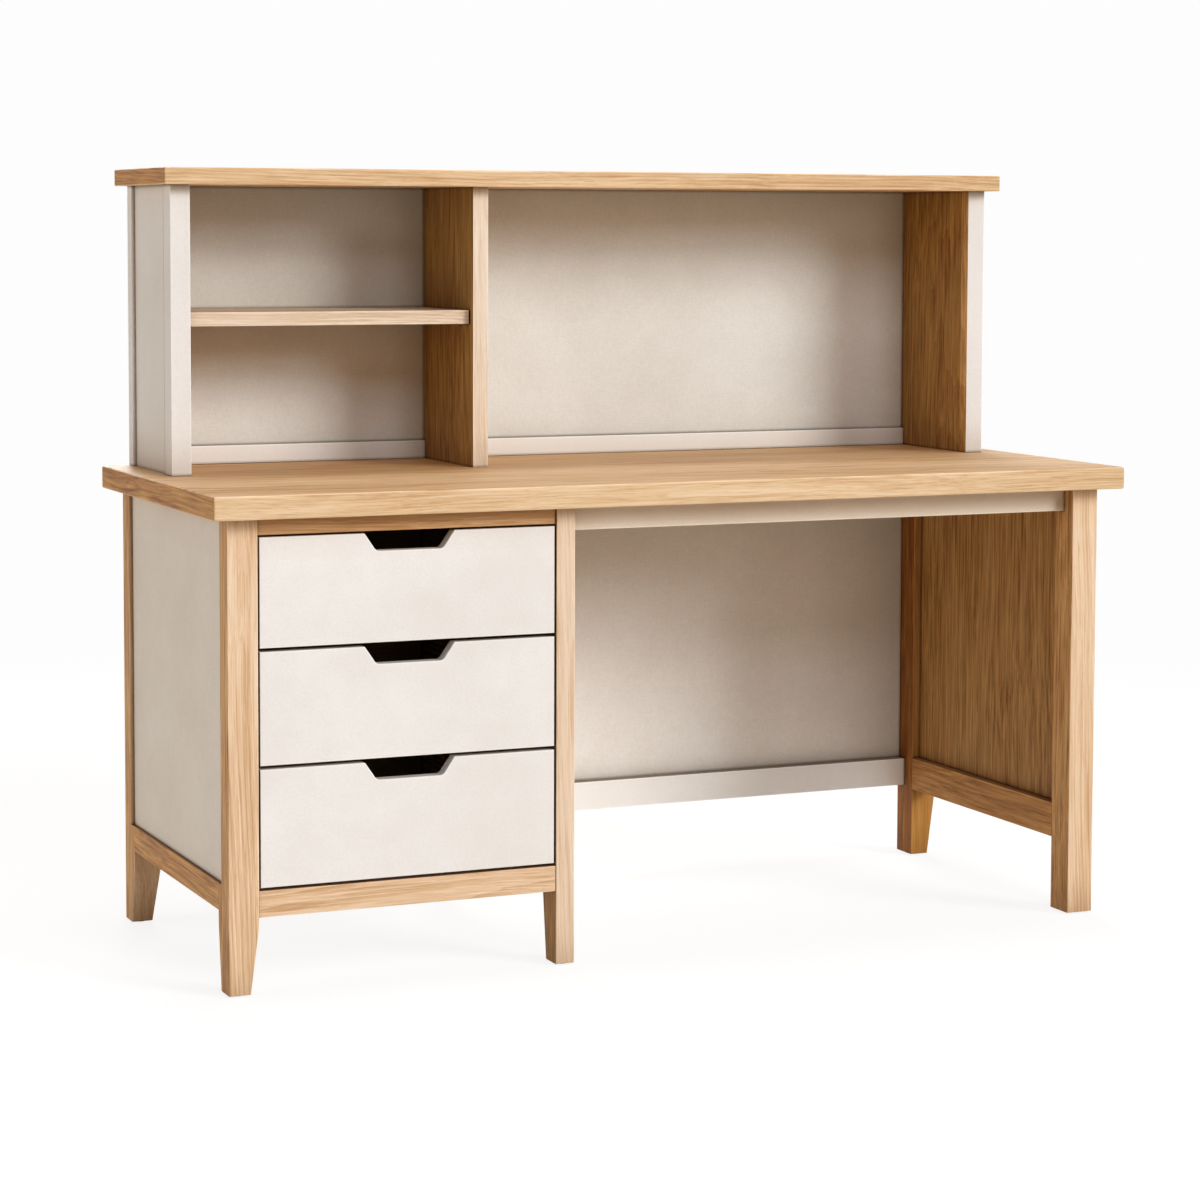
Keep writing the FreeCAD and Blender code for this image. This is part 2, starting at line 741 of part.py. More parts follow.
def make_hutch_sides():
    """Front stiles with a rebate behind, and panels whose tongues lap into it."""
    for side in ("left", "right"):
        stile = upright(f"hutch_{side}_front_stile", side, [
            ("0", "0"), ("hutch_side_thickness", "0"),
            ("hutch_side_thickness", "hutch_stile_inner_depth"),
            ("hutch_shoulder", "hutch_stile_inner_depth"),
            ("hutch_shoulder", "hutch_stile_depth"), ("0", "hutch_stile_depth")])
        keep(stile, f"hutch_{side}_front_stile")
        panel = upright(f"hutch_{side}_panel", side, [
            ("panel_setback", "hutch_stile_depth"), ("hutch_shoulder", "hutch_stile_depth"),
            ("hutch_shoulder", "hutch_stile_inner_depth"),
            ("hutch_side_thickness", "hutch_stile_inner_depth"),
            ("hutch_side_thickness", "rear_stile_place"), ("panel_setback", "rear_stile_place")])
        if side == "left":
            panel = drill_for_pins(panel, "hutch_inner_left", -ALONG_X)
        keep(panel, f"hutch_{side}_panel")


def make_rear_stiles():
    stiles = []
    for x, middle in (("hutch_left", "plate_left"), ("hutch_right_place", "plate_right")):
        stile = box("RearStile", ("hutch_side_thickness", "rear_stile_depth", "hutch_side_height"),
                    (x, "hutch_back_front", "desk_height"))
        stiles.append(drill(stile, "screw_hole_diameter", "screw_hole_depth",
                            [(middle, "desk_back", "upper_screw")], -ALONG_Y))
    group("hutch_rear_stiles", stiles)


def drill_for_pins(base, x, direction):
    spots = [(x, y, "pin_axis") for y in ("pin_front", "pin_rear")]
    return drill(base, "pin_diameter", "pin_depth", spots, direction)


def make_divider_and_shelf():
    divider = box("Divider", ("divider_thickness", "hutch_back_front - hutch_front", "hutch_side_height"),
                  ("divider_left", "hutch_front", "desk_height"))
    keep(drill_for_pins(divider, "divider_left", ALONG_X), "hutch_divider")
    board("hutch_shelf",
          ("divider_left - hutch_inner_left - 2 * shelf_end_play", "shelf_depth", "shelf_thickness"),
          ("hutch_inner_left + shelf_end_play", "shelf_front", "shelf_floor"))


def make_shelf_pins():
    """Steel pins under the shelf's corners, half in the boards and half out."""
    pins = []
    for x in ("hutch_inner_left - pin_depth", "divider_left - pin_reach"):
        for y in ("pin_front", "pin_rear"):
            pin = round_bar("ShelfPin", "pin_diameter", "pin_depth + pin_reach", ALONG_X)
            place(pin, x, y, "pin_axis")
            pins.append(pin)
    group("shelf_pins", pins)


def make_hutch_back():
    board("hutch_back_panel", ("hutch_inner_width", "hutch_back_thickness", "hutch_side_height"),
          ("hutch_inner_left", "hutch_back_front", "desk_height"))
    group("hutch_skirts", [
        box("Skirt", (f"{right} - ({left})", "skirt_thickness", "skirt_height"),
            (left, "skirt_front", "desk_height"))
        for left, right in (("hutch_inner_left", "divider_left"),
                            ("divider_right", "hutch_right_place"))])


def make_fixing_plates():
    """Steel plates over the joint between the hutch and the back edge of the desktop."""
    plates = []
    for middle in ("plate_left", "plate_right"):
        plate = box("Plate", ("plate_width", "plate_thickness", "plate_height"),
                    (f"{middle} - plate_width / 2", "desk_back", "plate_floor"))
        spots = [(middle, "desk_back", height) for height in ("lower_screw", "upper_screw")]
        plates.append(drill(plate, "screw_hole_diameter", "plate_thickness", spots, ALONG_Y))
    group("hutch_fixing_plates", plates)


# ---------------------------------------------------------------- the whole desk

def check_document():
    """Stops on any object that failed and on any sub-part without a sound solid."""
    for thing in doc.Objects:
        if "Invalid" in thing.State or "Error" in thing.State:
            raise RuntimeError(f"{thing.Label} failed: {thing.State}")
    for piece in pieces:
        shape = piece.Shape
        if shape.isNull() or not shape.isValid() or not shape.Solids:
            raise RuntimeError(f"{piece.Label} has no valid solid")


def write_parts():
    os.makedirs("parts", exist_ok=True)
    for piece in pieces:
        piece.Shape.exportStep(os.path.join("parts", piece.Label + ".step"))


sheet = make_sheet()
doc.recompute()
make_layout()
doc.recompute()

make_desktop()
make_legs()
make_glides()
make_left_end()
make_right_end()
make_case()
make_cleats()
make_kneehole()
for drawer in DRAWERS:
    make_drawer(drawer)
make_slides()
make_hutch_top()
make_hutch_sides()
make_rear_stiles()
make_divider_and_shelf()
make_shelf_pins()
make_hutch_back()
make_fixing_plates()

doc.recompute()
check_document()
write_parts()
print(f"{len(pieces)} sub-parts written")
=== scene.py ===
from math import cos, pi, radians, sin

import bmesh
import bpy
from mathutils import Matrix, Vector


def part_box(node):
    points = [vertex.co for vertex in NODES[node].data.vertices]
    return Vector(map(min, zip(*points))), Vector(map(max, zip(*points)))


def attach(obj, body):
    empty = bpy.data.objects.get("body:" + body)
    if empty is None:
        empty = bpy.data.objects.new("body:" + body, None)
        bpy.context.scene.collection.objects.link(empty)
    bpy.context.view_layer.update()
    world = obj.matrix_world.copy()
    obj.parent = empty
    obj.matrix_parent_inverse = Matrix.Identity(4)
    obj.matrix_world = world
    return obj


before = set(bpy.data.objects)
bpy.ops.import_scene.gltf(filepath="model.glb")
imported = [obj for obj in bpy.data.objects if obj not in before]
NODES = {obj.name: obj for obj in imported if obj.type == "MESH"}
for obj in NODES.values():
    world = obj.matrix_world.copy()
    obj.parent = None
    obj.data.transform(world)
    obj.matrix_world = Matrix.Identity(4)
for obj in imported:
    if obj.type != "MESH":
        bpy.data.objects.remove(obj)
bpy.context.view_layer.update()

# Student desk with hutch: finishes, screws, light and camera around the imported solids.
# Metres, +Z up, +Y to the back of the desk. The photo is taken from the front left.

MM = 0.001

# ---------------------------------------------------------------- colours


def paint(red, green, blue):
    """Screen colour from 0 to 255 as a linear RGBA colour."""
    def linear(level):
        level /= 255
        return level / 12.92 if level <= 0.04045 else ((level + 0.055) / 1.055) ** 2.4
    return (linear(red), linear(green), linear(blue), 1.0)


def palette(*colours):
    """Colours of one finish, from its lightest to its darkest."""
    return [paint(*colour) for colour in colours]


OAK = palette((230, 200, 164), (218, 182, 141), (185, 140, 93))
LEG_OAK = palette((236, 209, 180), (224, 190, 155), (190, 146, 103))
MILD_OAK = palette((230, 207, 183), (222, 193, 165), (194, 156, 119))
PALE_OAK = palette((238, 222, 202), (228, 206, 183), (201, 169, 136))
# painted shade: a darker copy of the oak for the case's top rail, in the desktop's shadow
RAIL_SHADE_OAK = palette((222, 186, 146), (206, 160, 112), (178, 127, 78))
# painted shade: a dark oak for the faces of the rear right leg in the kneehole's corner
KNEEHOLE_SHADE_OAK = palette((198, 153, 92), (179, 127, 62), (150, 97, 40))
BIRCH = palette((232, 213, 182), (222, 199, 163), (201, 172, 131))
CREAM = palette((235, 230, 226), (221, 213, 205))
# painted light: a lighter copy of the cream paint, for the skirts and the modesty rail
SKIRT_LIT_CREAM = palette((244, 242, 239), (236, 231, 225))
APRON_CREAM = palette((242, 226, 209), (228, 210, 190))
# painted light: a lighter copy of the cream paint, for the modesty panel
MODESTY_LIT_CREAM = palette((245, 242, 238), (233, 226, 218))
# painted shade: a darker copy of the cream paint, for the hutch's back panel
BACK_SHADED_CREAM = palette((226, 223, 216), (211, 206, 197))
ZINC = paint(205, 207, 210)
STEEL = paint(184, 186, 190)
FELT = paint(74, 68, 62)
BLACK = (0, 0, 0, 1)
WHITE = (1, 1, 1, 1)

# painted shade: tints, as linear shares of the colour under them, that darken faces as the light would:
# those of faces that look left
SIDE_SHADE_TONE = (0.76, 0.60, 0.35, 1.0)
RAIL_SIDE_SHADE = (0.73, 0.54, 0.28, 1.0)
LIGHT_SIDE_SHADE = (0.83, 0.67, 0.40, 1.0)
STRIP_SIDE_SHADE = (1.00, 0.88, 0.57, 1.0)
PANEL_SIDE_SHADE = (0.66, 0.54, 0.31, 1.0)
INNER_SIDE_SHADE = (0.60, 0.44, 0.165, 1.0)
BAY_SIDE_SHADE = (0.62, 0.50, 0.21, 1.0)
BAND_SIDE_SHADE = (0.67, 0.48, 0.22, 1.0)
PLY_SIDE_SHADE = (0.90, 0.84, 0.73, 1.0)
LINEN_SIDE_SHADE = (0.97, 0.945, 0.90, 1.0)
# painted shade: those of faces that look up
TOP_SHADE_TONE = (0.95, 0.915, 0.855, 1.0)
SHELF_TOP_SHADE = (0.82, 0.76, 0.68, 1.0)
LEDGE_SHADE = (0.50, 0.40, 0.28, 1.0)
SKIRT_TOP_SHADE = (0.42, 0.38, 0.34, 1.0)
# and those of any face: painted highlights on rounded arrises and outer edges, painted shade in seams,
# and a painted shadow line in the quirk
PLAIN_TONE = (1.0, 1.0, 1.0, 1.0)
ARRIS_HIGHLIGHT_TONE = (1.15, 1.19, 1.25, 1.0)
EDGE_HIGHLIGHT_TONE = (1.20, 1.23, 1.28, 1.0)
SEAM_SHADE_TONE = (0.30, 0.23, 0.16, 1.0)
QUIRK_SHADOW_TONE = (0.58, 0.52, 0.46, 1.0)

# painted shade: how far a board is darkened near its corners by what stands there, and the tint there
CORNER_SHADE = (70 * MM, (0.62, 0.54, 0.44, 1.0))
UNSHADED_CORNER = (70 * MM, PLAIN_TONE)
BACK_CORNER_SHADE = (70 * MM, (0.64, 0.59, 0.48, 1.0))
DEEP_CORNER_SHADE = (240 * MM, (0.42, 0.38, 0.30, 1.0))
DESKTOP_CORNER_SHADE = (350 * MM, (0.80, 0.65, 0.41, 1.0))
EDGE_HIGHLIGHT_REACH = 2.6 * MM
SEAM_SHADE_REACH = 5 * MM
# share of open space at which the painted edge highlight, the painted seam shade and the painted corner
# shade have their full tint, and at which none
EDGE_HIGHLIGHT_SPAN = (0.70, 0.95)
SEAM_SHADE_SPAN = (0.50, 0.95)
CORNER_SHADE_SPAN = (0.15, 1.0)
SPACE_SAMPLES = 2
# part of the normal along an axis at which a face starts to look that way, and at which it does
FACING_SPAN = (0.5, 0.95)
# largest part of the normal along an axis on a flat face, and in the middle of an arris
ARRIS_SPAN = (0.985, 0.80)

# ---------------------------------------------------------------- shader nodes


class Shader:
    """The nodes of one material or of the world."""

    def __init__(self, owner):
        self.owner = owner
        owner.use_nodes = True
        self.tree = owner.node_tree
        self.tree.nodes.clear()

    def add(self, kind, inputs=None, **settings):
        """New node; inputs are numbers, colours or the sockets that feed them."""
        node = self.tree.nodes.new("ShaderNode" + kind)
        for key, setting in settings.items():
            setattr(node, key, setting)
        for key, source in (inputs or {}).items():
            if isinstance(source, bpy.types.NodeSocket):
                self.tree.links.new(source, node.inputs[key])
            else:
                node.inputs[key].default_value = source
        return node

    def math(self, operation, first, second):
        return self.add("Math", {0: first, 1: second}, operation=operation).outputs[0]

    def vector(self, operation, inputs):
        return self.add("VectorMath", inputs, operation=operation).outputs[0]

    def weighed(self, first, first_share, second, second_share):
        """Sum of two sources, each with its share."""
        return self.math("ADD", self.math("MULTIPLY", first, first_share),
                         self.math("MULTIPLY", second, second_share))

    def within(self, amount, low, high, first=0.0, last=1.0):
        """Amount from low to high, turned into a share from first to last."""
        return self.add("MapRange", {"Value": amount, 1: low, 2: high, 3: first, 4: last}).outputs[0]

    def object_place(self):
        return self.add("TexCoord").outputs["Object"]

    def scaled(self, vector, scale, location=(0, 0, 0)):
        return self.add("Mapping", {"Vector": vector, "Scale": scale, "Location": location}).outputs[0]

    def noise(self, vector, scale, detail, roughness):
        inputs = {"Vector": vector, "Scale": scale, "Detail": detail, "Roughness": roughness}
        return self.add("TexNoise", inputs).outputs["Fac"]

    def drawn_noise(self, grain, squeeze, scale, detail, roughness):
        """Noise that is drawn out along the grain."""
        return self.noise(self.scaled(grain, (1, 1, squeeze)), scale, detail, roughness)

    def ramp(self, factor, positions, colours):
        """Colour ramp through the colours at their positions."""
        node = self.add("ValToRGB", {"Fac": factor})
        band = node.color_ramp.elements
        while len(band) < len(positions):
            band.new(0.5)
        for element, position, colour in zip(band, positions, colours):
            element.position = position
            element.color = colour
        return node.outputs["Color"]

    def mix(self, factor, first, second, blend="MIX"):
        node = self.add("Mix", {0: factor, 6: first, 7: second}, data_type="RGBA", blend_type=blend)
        return node.outputs[2]

    def tint(self, base, share, first, last):
        """Base colour times the tint that lies at the share from first to last."""
        return self.mix(1.0, base, self.mix(share, first, last), "MULTIPLY")

    def facing(self):
        """How far a face looks left, how far it looks up, and how far it is a rounded arris."""
        normal = self.add("SeparateXYZ", {0: self.add("TexCoord").outputs["Normal"]}).outputs
        flat = self.math("ABSOLUTE", normal["X"], 0)
        for axis in ("Y", "Z"):
            flat = self.math("MAXIMUM", flat, self.math("ABSOLUTE", normal[axis], 0))
        start, full = FACING_SPAN
        return (self.within(normal["X"], -start, -full), self.within(normal["Z"], start, full),
                self.within(flat, *ARRIS_SPAN))

    def openness(self, reach, span, **settings):
        """From 0 to 1, how open the space within reach is, between the two ends of the span."""
        space = self.add("AmbientOcclusion", {"Distance": reach}, samples=SPACE_SAMPLES, **settings)
        return self.within(space.outputs["AO"], *span)

    def tinted(self, base, facing, side, top, corner):
        """Base colour with painted shade on left faces and top faces, and a painted highlight on arrises.

        It is darker in the corners and seams, painted shade where boards would shade each other, and
        lighter in a hairline along the outer edges, a painted highlight.
        """
        # painted shade on faces that look left and up, and a painted highlight on rounded arrises
        for share, tone in zip(facing, (side, top, ARRIS_HIGHLIGHT_TONE)):
            base = self.tint(base, share, PLAIN_TONE, tone)
        # painted highlight in a hairline along the outer edges
        beyond_edge_highlight = self.openness(EDGE_HIGHLIGHT_REACH, EDGE_HIGHLIGHT_SPAN, inside=True, only_local=True)
        base = self.tint(base, beyond_edge_highlight, EDGE_HIGHLIGHT_TONE, PLAIN_TONE)
        # painted shade in the seams where boards meet
        base = self.tint(base, self.openness(SEAM_SHADE_REACH, SEAM_SHADE_SPAN), SEAM_SHADE_TONE, PLAIN_TONE)
        # painted shade near the corners, where other boards stand close
        reach, tone = corner
        return self.tint(base, self.openness(reach, CORNER_SHADE_SPAN), tone, PLAIN_TONE)

    def finish(self, base, roughness, height, strength, depth, **fixed):
        """Principled surface over a relief; fixed values go on its own sockets."""
        relief = self.add("Bump", {"Height": height, "Strength": strength, "Distance": depth})
        inputs = {"Base Color": base, "Roughness": roughness, "Normal": relief.outputs[0]}
        surface = self.add("BsdfPrincipled", inputs)
        for key, level in fixed.items():
            surface.inputs[key.replace("_", " ")].default_value = level
        self.add("OutputMaterial", {"Surface": surface.outputs[0]})
        return self.owner


def new_shader(name):
    return Shader(bpy.data.materials.new(name))


def shifted(colour, *shares):
    """Colour with each of its three parts times its share."""
    return tuple(share * level for share, level in zip(shares, colour)) + (1.0,)


# ---------------------------------------------------------------- wood

GRAIN_ORDER = {"X": ("Y", "Z", "X"), "Y": ("X", "Z", "Y"), "Z": ("X", "Y", "Z")}
# step through the wood from one seed to the next: across, over and along the grain
SEED_STEP = (0.377, 0.191, 0.733)
# where the pith lies beside each board, and how far it leans per metre
PITH = (0.16, -0.09)
PITH_LEAN = 0.03
# waves that bend the grain: scale, squeeze along the grain, reach in metres
GRAIN_WAVES = [(5.0, 0.30, 0.036), (38.0, 0.12, 0.0045)]
RINGS = {"Scale": 52.0, "Distortion": 1.2, "Detail": 2.0, "Detail Scale": 1.5}
# noises in the wood: squeeze along the grain, scale, detail, roughness
FIBRES = (0.013, 330.0, 5.0, 0.78)
STREAKS = (0.03, 95.0, 3.0, 0.6)
CLOUDS = (0.22, 6.0, 1.0, 0.5)
PORES = (0.030, 620.0, 2.0, 0.5)
DASHES = (0.03, 190.0, 3.0, 0.72)
# from the first to the second tone of the clouds, the rings go from faint to full
RING_FADE = (0.38, 0.62, 0.35, 1.0)
# share of the rings in the figure, and their mean there
RING_SHARE = 0.24
RING_MEAN = 0.08
# shares of the fibres, streaks and clouds in the figure, and the mean of each
NOISE_SHARES = (1.40, 0.75, 0.30)
NOISE_MEAN = 0.5
NOISE_CENTRE = (NOISE_MEAN, NOISE_MEAN, NOISE_MEAN)
# the figure is stronger on faces that look left and on those that look up
BASE_GAIN = 1.15
SIDE_GAIN = 0.2
TOP_GAIN = 0.4
# mean of the whole figure, and where the light, the middle and the dark colour lie in it
FIGURE_MEAN = 0.48
FIGURE_STOPS = (0.14, 0.44, 0.88)
# where pores begin in their noise and where they are full, how dark and how deep they are
PORE_STOPS = (0.60, 0.68)
PORE_SHARE = 0.36
PORE_SINK = 0.6
# dashes in the painted shade on faces that look left, from lighter to darker than the tint
DASH_STOPS = (0.34, 0.50, 0.66)
DASH_LIGHT = (1.25, 1.25, 1.25)
DASH_DARK = (0.62, 0.52, 0.40)
WOOD_ROUGHNESS = (0.50, 0.66)
WOOD_SHINE = 0.3
# strength of the relief, and its depth in metres
WOOD_RELIEF = (0.16, 0.0004)


def grain_space(shader, along, shift):
    """Place across, over and along the grain, in the board's own spot of the wood."""
    across, over, length = GRAIN_ORDER[along]
    point = shader.add("SeparateXYZ", {0: shader.object_place()}).outputs
    terms = {0: point[length], 1: PITH_LEAN, 2: point[across]}
    leaning = shader.add("Math", terms, operation="MULTIPLY_ADD").outputs[0]
    grain = shader.add("CombineXYZ", {0: leaning, 1: point[over], 2: point[length]}).outputs[0]
    return shader.scaled(grain, (1, 1, 1), shift)


def bent(shader, grain):
    """The grain in slow and fine waves."""
    wavy = grain
    for scale, squeeze, reach in GRAIN_WAVES:
        noise = {"Vector": shader.scaled(grain, (1, 1, squeeze)), "Scale": scale}
        sway = shader.add("TexNoise", noise).outputs["Color"]
        sway = shader.vector("SUBTRACT", {0: sway, 1: NOISE_CENTRE})
        sway = shader.vector("SCALE", {0: sway, "Scale": reach})
        wavy = shader.vector("ADD", {0: wavy, 1: sway})
    return wavy


def growth_rings(shader, wavy, shift):
    """Rings round the pith, which lies beside each board, so the board's own shift is taken off."""
    centre = (PITH[0] - shift[0], PITH[1] - shift[1], 0)
    inputs = {"Vector": shader.scaled(wavy, (1, 1, 0.0), centre), **RINGS}
    node = shader.add("TexWave", inputs, wave_type="RINGS", rings_direction="Z", wave_profile="SAW")
    return node.outputs["Fac"]


def wood_figure(shader, rings, noises, gain, contrast):
    """How dark the wood is, from its rings and its noises: fibres, streaks and clouds."""
    rings = shader.math("MULTIPLY", rings, shader.within(noises[-1], *RING_FADE))
    figure = shader.math("MULTIPLY", rings, RING_SHARE * contrast)
    figure = shader.math("SUBTRACT", figure, RING_MEAN * contrast)
    for noise, share in zip(noises, NOISE_SHARES):
        change = shader.math("MULTIPLY", shader.math("SUBTRACT", noise, NOISE_MEAN), share * contrast)
        figure = shader.math("ADD", figure, change)
    return shader.math("ADD", shader.math("MULTIPLY", figure, gain), FIGURE_MEAN)


def wood(name, along, seed, colours, side=SIDE_SHADE_TONE, top=TOP_SHADE_TONE, contrast=1.0, corner=CORNER_SHADE):
    """Solid wood: wavy growth rings round a leaning pith, fibres, pores and slow changes of tone.

    Faces that look left take the side tone, a painted shade in lighter and darker dashes, and those that
    look up take the top tone, a painted shade too.
    """
    shader = new_shader(name)
    shift = tuple(seed * step for step in SEED_STEP)
    grain = grain_space(shader, along, shift)
    wavy = bent(shader, grain)
    rings = growth_rings(shader, wavy, shift)
    fibres = shader.drawn_noise(wavy, *FIBRES)
    noises = [fibres, shader.drawn_noise(wavy, *STREAKS), shader.drawn_noise(grain, *CLOUDS)]
    facing = shader.facing()
    gain = shader.math("ADD", shader.weighed(facing[0], SIDE_GAIN, facing[1], TOP_GAIN), BASE_GAIN)
    figure = wood_figure(shader, rings, noises, gain, contrast)
    base = shader.ramp(figure, FIGURE_STOPS, colours)
    pores = shader.ramp(shader.drawn_noise(wavy, *PORES), PORE_STOPS, (BLACK, WHITE))
    pore_share = shader.math("MULTIPLY", shader.math("MULTIPLY", pores, gain), PORE_SHARE * contrast)
    base = shader.mix(pore_share, base, colours[-1])
    dash_tones = (shifted(side, *DASH_LIGHT), side, shifted(side, *DASH_DARK))
    side = shader.ramp(shader.drawn_noise(wavy, *DASHES), DASH_STOPS, dash_tones)
    # painted shade on faces that look left or up, in seams and in corners, and painted highlights on
    # arrises and outer edges
    base = shader.tinted(base, facing, side, top, corner)
    roughness = shader.within(fibres, 0, 1, *WOOD_ROUGHNESS)
    height = shader.math("SUBTRACT", fibres, shader.math("MULTIPLY", pores, PORE_SINK))
    return shader.finish(base, roughness, height, *WOOD_RELIEF, Specular_IOR_Level=WOOD_SHINE)


# ---------------------------------------------------------------- paint, metal and felt

# noises in the paint: scale, detail, roughness
PAINT_CLOUDS = (4.5, 5.0, 0.66)
PAINT_SPECKS = (240.0, 3.0, 0.7)
ROLLER_TEXTURE = (1100.0, 1.0, 0.5)
THREADS = (620.0, 1.0, 0.5)
THREAD_SQUEEZES = ((1, 1, 0.14), (0.14, 1, 1))
# shares of clouds and specks in the tone of the paint, and what is taken off their sum
CLOUD_SHARE = 0.85
SPECK_SHARE = 0.55
PAINT_OFFSET = 0.12
PAINT_STOPS = (0.34, 0.82)
PAINT_ROUGHNESS = (0.46, 0.58)
PAINT_RELIEF = (0.06, 0.0003)
PAINT_SHINE = 0.3
LINEN_WEAVE = 0.36
# how far a quirk's soft edges reach to each side of its ends, as a share of its width
QUIRK_EDGE = 0.25

# squeeze of the drawing lines along their own way
METAL_SQUEEZES = {"Y": (1, 0.03, 1), "Z": (1, 1, 0.03)}
METAL_LINES = (900.0, 2.0, 0.6)
METAL_SPANGLE = (60.0, 3.0, 0.6)
LINE_SHARE = 0.5
SPANGLE_SHARE = 0.5
METAL_DULL = (0.72, 0.72, 0.72)
METAL_STOPS = (0.3, 0.7)
METAL_ROUGHNESS = (0.26, 0.44)
METAL_RELIEF = (0.08, 0.0002)

# squeeze along Z, scale, detail, roughness
FELT_HAIRS = (0.4, 900.0, 4.0, 0.7)
FELT_LIGHT = (1.8, 1.8, 1.8)
FELT_STOPS = (0.35, 0.75)
FELT_ROUGHNESS = 0.95
FELT_RELIEF = (0.5, 0.0006)
FELT_SHEEN = 0.3


def linen(shader, place, weave):
    """Fine woven grain, from threads that run across and threads that run up."""
    threads = []
    for squeeze in THREAD_SQUEEZES:
        threads.append(shader.noise(shader.scaled(place, squeeze), *THREADS))
    return shader.math("MULTIPLY", shader.math("ADD", *threads), weave)


def quirk_shadowed(shader, base, place, first, last):
    """Painted shadow line in the quirk, the stretch along Y where a panel meets its stile."""
    along = shader.add("SeparateXYZ", {0: place}).outputs["Y"]
    edge = (last - first) * QUIRK_EDGE
    inside = shader.math("MINIMUM", shader.within(along, first - edge, first + edge),
                         shader.within(along, last + edge, last - edge))
    return shader.tint(base, inside, PLAIN_TONE, QUIRK_SHADOW_TONE)


def satin(name, colours, weave=0.0, side=PLAIN_TONE, top=PLAIN_TONE, quirk=None, corner=CORNER_SHADE):
    """Satin paint: faint clouds of tone, roller texture and, on panels, a fine woven grain."""
    shader = new_shader(name)
    place = shader.object_place()
    clouds = shader.noise(place, *PAINT_CLOUDS)
    specks = shader.noise(place, *PAINT_SPECKS)
    height = shader.noise(place, *ROLLER_TEXTURE)
    amount = shader.weighed(clouds, CLOUD_SHARE, specks, SPECK_SHARE)
    amount = shader.math("SUBTRACT", amount, PAINT_OFFSET)
    if weave:
        woven = linen(shader, place, weave)
        amount = shader.math("ADD", amount, shader.math("SUBTRACT", woven, weave))
        height = shader.math("ADD", height, woven)
    base = shader.ramp(amount, PAINT_STOPS, colours)
    # painted shade on faces that look left or up, in seams and in corners, and painted highlights on
    # arrises and outer edges
    base = shader.tinted(base, shader.facing(), side, top, corner)
    # painted shadow line in the quirk
    if quirk:
        base = quirk_shadowed(shader, base, place, *quirk)
    roughness = shader.within(clouds, 0, 1, *PAINT_ROUGHNESS)
    return shader.finish(base, roughness, height, *PAINT_RELIEF, Specular_IOR_Level=PAINT_SHINE)


def metal(name, colour, along):
    """Zinc-plated steel with faint drawing lines and spangle."""
    shader = new_shader(name)
    place = shader.object_place()
    lines = shader.noise(shader.scaled(place, METAL_SQUEEZES[along]), *METAL_LINES)
    spangle = shader.noise(place, *METAL_SPANGLE)
    tone = shader.weighed(lines, LINE_SHARE, spangle, SPANGLE_SHARE)
    base = shader.ramp(tone, METAL_STOPS, (shifted(colour, *METAL_DULL), colour))
    roughness = shader.within(lines, 0, 1, *METAL_ROUGHNESS)
    return shader.finish(base, roughness, lines, *METAL_RELIEF, Metallic=1.0)


def felt(name):
    """Dark pressed felt."""
    shader = new_shader(name)
    hairs = shader.drawn_noise(shader.object_place(), *FELT_HAIRS)
    base = shader.ramp(hairs, FELT_STOPS, (FELT, shifted(FELT, *FELT_LIGHT)))
    return shader.finish(base, FELT_ROUGHNESS, hairs, *FELT_RELIEF, Sheen_Weight=FELT_SHEEN)


# ---------------------------------------------------------------- finishes of the boards

LEGS = ["front_left_leg", "rear_left_leg", "front_middle_leg", "rear_middle_leg", "front_right_leg",
        "rear_right_leg"]
DRAWER_FRONTS = ["drawer_1_front", "drawer_2_front", "drawer_3_front"]
HUTCH_STILES = ["hutch_left_front_stile", "hutch_right_front_stile"]
HUTCH_PANELS = ["hutch_left_panel", "hutch_right_panel"]
OAK_BOARDS = {
    "X": ["desktop", "hutch_top", "hutch_shelf", "case_top_rail", "case_bottom_rail"],
    "Y": ["left_side_rail", "right_side_rail", "case_side_rail"],
    "Z": LEGS + ["right_inner_panel", "case_side_panel", "hutch_divider"],
}
CARCASS_BOARDS = {
    "X": ["case_rear_rail", "rear_top_rail"],
    "Y": ["slide_battens", "top_cleats"],
    "Z": ["left_inner_panel", "case_back_panel"],
}
# boards that differ from plain oak and from the usual painted shade of sides, tops and corners
BOARD_COLOURS = {
    "case_top_rail": RAIL_SHADE_OAK, "front_middle_leg": MILD_OAK, "hutch_shelf": PALE_OAK,
    "hutch_divider": PALE_OAK, "front_left_leg": LEG_OAK, "front_right_leg": LEG_OAK,
    "rear_left_leg": LEG_OAK, "rear_right_leg": LEG_OAK, "case_bottom_rail": LEG_OAK,
}
SIDE_SHADES = {
    "hutch_divider": INNER_SIDE_SHADE, "front_middle_leg": INNER_SIDE_SHADE, "front_right_leg": LIGHT_SIDE_SHADE,
    "left_side_rail": RAIL_SIDE_SHADE, "right_side_rail": RAIL_SIDE_SHADE, "right_inner_panel": PANEL_SIDE_SHADE,
}
TOP_SHADES = {"desktop": TOP_SHADE_TONE, "hutch_top": TOP_SHADE_TONE, "hutch_shelf": SHELF_TOP_SHADE}
# the desktop's painted corner shade reaches further, under the hutch
CORNER_SHADES = {"desktop": DESKTOP_CORNER_SHADE}
CARCASS_CONTRAST = 0.7
PLY_CONTRAST = 0.6
# seeds of the woods that are not counted board by board
DRAWER_SIDE_SEED = 41
DRAWER_BACK_SEED = 42
STILE_SEED = 57
PANEL_SEED = 58
BAND_SEED = 61
KNEEHOLE_SHADE_SEED = 63
# stretch of the painted shadow line in the quirk on each side of the step from stile to panel
PANEL_QUIRK = 7 * MM
STILE_QUIRK = 3 * MM
SAME_PLANE = 0.5 * MM
# part of the normal along X on a flat side of a board, and along -X or -Y on a leg's face
FLAT_SIDE = 0.9
LEG_FACE = 0.5
